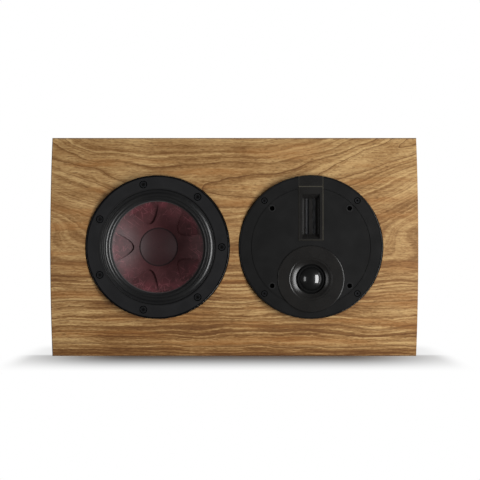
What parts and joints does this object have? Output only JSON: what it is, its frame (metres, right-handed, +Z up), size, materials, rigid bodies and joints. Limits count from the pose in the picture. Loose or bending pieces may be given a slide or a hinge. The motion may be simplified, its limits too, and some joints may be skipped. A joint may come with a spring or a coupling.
{
  "type": "on-wall speaker",
  "caption": "On-wall speaker with a curved walnut front, a maroon wood-fibre bass driver and a round high-frequency module holding a ribbon above a soft dome.",
  "frame": {"origin": "on the floor under the middle of the whole part", "axes": "+X to the right seen from the front, along the cabinet's length; +Y from the front into the wall; +Z up"},
  "size_m": [0.454, 0.1362, 0.272],
  "materials": {
    "walnut": "walnut veneer, satin lacquer",
    "black_board": "fibreboard, matt black",
    "raw_board": "bare fibreboard",
    "felt": "grey wadding",
    "flange_black": "satin black, fine texture",
    "module_black": "soft matt black",
    "plate_black": "satin black",
    "screw_black": "black oxide",
    "gasket_foam": "closed-cell foam",
    "surround_rubber": "satin rubber",
    "pulp": "pressed wood-fibre pulp, maroon",
    "former": "thin sheet",
    "winding": "enamelled copper wire",
    "spider_cloth": "treated cloth",
    "motor_steel": "zinc plated",
    "ferrite": "sintered ferrite",
    "phenolic": "phenolic strip",
    "film": "dark metallised film",
    "dome_cloth": "coated fine weave, glossy",
    "moulding": "fine texture",
    "socket_rubber": "soft black rubber",
    "circuit_board": "green solder mask",
    "capacitor": "wrapped film",
    "cement": "cement body",
    "lead_jacket": "soft jacket",
    "post_metal": "gold plated",
    "knob_red": "clear red",
    "knob_black": "clear black",
    "plate_steel": "zinc plated"
  },
  "bodies": {
    "cabinet": {"front_baffle": "walnut", "top_panel": "walnut", "bottom_panel": "walnut", "left_end_panel": "walnut", "right_end_panel": "walnut", "rear_panel": "black_board", "cabinet_brace": "raw_board", "damping_felt": "felt", "woofer_basket": "flange_black", "woofer_gasket": "gasket_foam", "woofer_screws": "screw_black", "woofer_surround": "surround_rubber", "woofer_spider": "spider_cloth", "woofer_top_plate": "motor_steel", "woofer_magnet": "ferrite", "woofer_yoke": "motor_steel", "woofer_terminal_strip": "phenolic", "tweeter_chassis": "module_black", "tweeter_cover_plate": "module_black", "tweeter_gasket": "gasket_foam", "tweeter_screws": "screw_black", "grille_sockets": "socket_rubber", "ribbon_bezel": "plate_black", "ribbon_slot_plate": "plate_black", "ribbon_film": "film", "ribbon_frame": "moulding", "ribbon_housing": "motor_steel", "ribbon_magnets": "ferrite", "dome_plate": "plate_black", "dome_diaphragm": "dome_cloth", "dome_voice_coil": "winding", "dome_top_plate": "motor_steel", "dome_magnet": "ferrite", "dome_yoke": "motor_steel", "dome_rear_chamber": "moulding", "crossover_board": "circuit_board", "crossover_spacers": "moulding", "woofer_inductor": "winding", "tweeter_inductor": "winding", "crossover_capacitors": "capacitor", "crossover_resistors": "cement", "input_leads": "lead_jacket", "woofer_leads": "lead_jacket", "tweeter_leads": "lead_jacket", "terminal_cup": "moulding", "terminal_cup_screws": "screw_black", "positive_post": "post_metal", "negative_post": "post_metal", "post_nuts": "plate_steel", "left_keyhole_plate": "plate_steel", "right_keyhole_plate": "plate_steel", "keyhole_screws": "plate_steel", "wall_pads": "socket_rubber"},
    "woofer_moving_assembly": {"woofer_cone": "pulp", "woofer_dust_cap": "pulp", "woofer_coil_former": "former", "woofer_voice_coil": "winding"},
    "positive_knob_body": {"positive_knob": "knob_red"},
    "negative_knob_body": {"negative_knob": "knob_black"}
  },
  "joints": [
    {"name": "woofer_excursion", "type": "slide", "parent": "cabinet", "child": "woofer_moving_assembly", "axis": [0, -1, 0], "range_m": [-0.005, 0.005], "stiffness_N_per_m": 1200, "deforming": ["woofer_surround", "woofer_spider"]},
    {"name": "positive_knob_turn", "type": "hinge", "parent": "cabinet", "child": "positive_knob_body", "pos_m": [0.1135, 0.0421, 0.136], "axis": [0, 1, 0], "range_deg": [0, 720]},
    {"name": "negative_knob_turn", "type": "hinge", "parent": "cabinet", "child": "negative_knob_body", "pos_m": [0.0755, 0.0421, 0.136], "axis": [0, 1, 0], "range_deg": [0, 720]}
  ]
}
